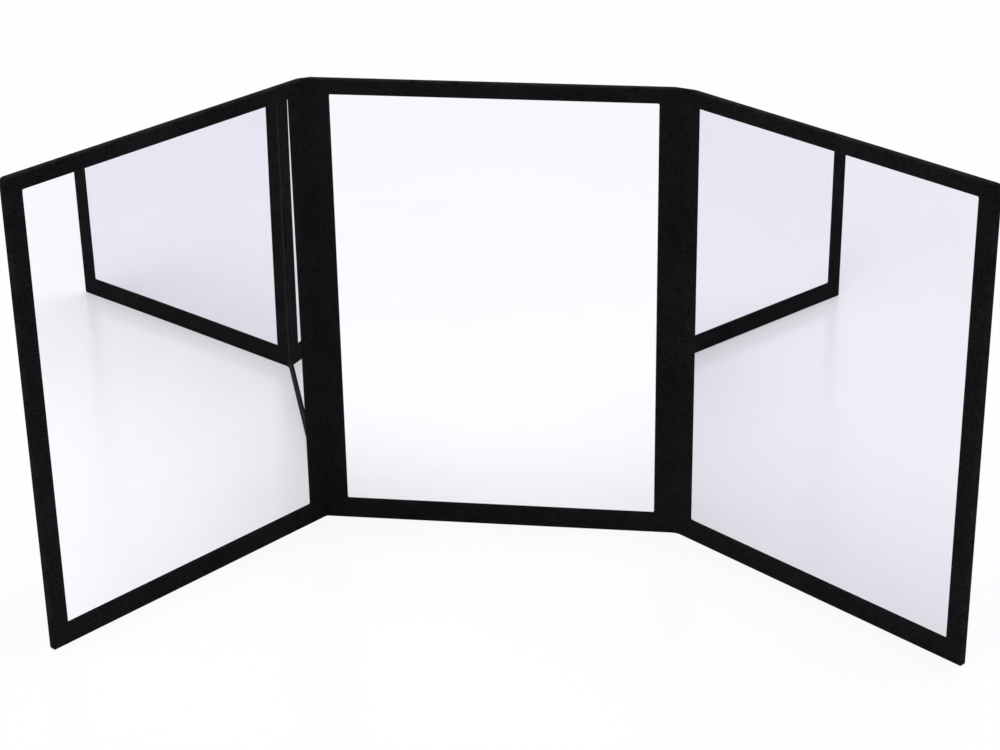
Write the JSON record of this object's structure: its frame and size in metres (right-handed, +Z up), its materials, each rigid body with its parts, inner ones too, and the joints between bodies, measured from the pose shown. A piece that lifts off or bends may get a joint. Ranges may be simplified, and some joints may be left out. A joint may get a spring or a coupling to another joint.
{
  "type": "tri-fold table mirror",
  "caption": "Free-standing tri-fold table mirror: thin black leatherette panels, each with a framed mirror window, joined by soft spines so the wings fold shut over the centre.",
  "frame": {"origin": "middle of the centre panel's standing edge, on the surface that it stands on", "axes": "+X to the right seen from the mirror side, +Y out of the centre panel's back, +Z up"},
  "size_m": [0.3594, 0.1226, 0.2],
  "materials": {
    "leatherette": "matte black, fine grain",
    "mirror_sheet": "polished mirror",
    "greyboard": "raw grey board",
    "card": "black dyed card",
    "tape": "double-sided film tape"
  },
  "bodies": {
    "centre_panel": {"centre_back_cover": "leatherette", "centre_stiffener_board": "greyboard", "centre_mirror_tape": "tape", "centre_mirror": "mirror_sheet", "centre_spacer_card": "card", "centre_front_frame": "leatherette"},
    "left_spine": {"left_spine_cover": "leatherette", "left_spine_lining": "leatherette"},
    "left_wing": {"left_back_cover": "leatherette", "left_stiffener_board": "greyboard", "left_mirror_tape": "tape", "left_mirror": "mirror_sheet", "left_spacer_card": "card", "left_front_frame": "leatherette"},
    "right_spine": {"right_spine_cover": "leatherette", "right_spine_lining": "leatherette"},
    "right_wing": {"right_back_cover": "leatherette", "right_stiffener_board": "greyboard", "right_mirror_tape": "tape", "right_mirror": "mirror_sheet", "right_spacer_card": "card", "right_front_frame": "leatherette"}
  },
  "joints": [
    {"name": "left_spine_fold", "type": "hinge", "parent": "centre_panel", "child": "left_spine", "pos_m": [-0.07345, 0.001, 0.1], "axis": [0, 0, 1], "range_deg": [-27, 63]},
    {"name": "left_wing_fold", "type": "hinge", "parent": "left_spine", "child": "left_wing", "pos_m": [-0.07817, -0.00141, 0.1], "axis": [0, 0, 1], "range_deg": [-27, 63]},
    {"name": "right_spine_fold", "type": "hinge", "parent": "centre_panel", "child": "right_spine", "pos_m": [0.07345, 0.001, 0.1], "axis": [0, 0, -1], "range_deg": [-19.5, 70.5]},
    {"name": "right_wing_fold", "type": "hinge", "parent": "right_spine", "child": "right_wing", "pos_m": [0.08156, -0.00187, 0.1], "axis": [0, 0, -1], "range_deg": [-19.5, 70.5]}
  ],
  "couplings": [
    {"joint": "left_wing_fold", "follows": "left_spine_fold", "ratio": 1},
    {"joint": "right_wing_fold", "follows": "right_spine_fold", "ratio": 1}
  ]
}
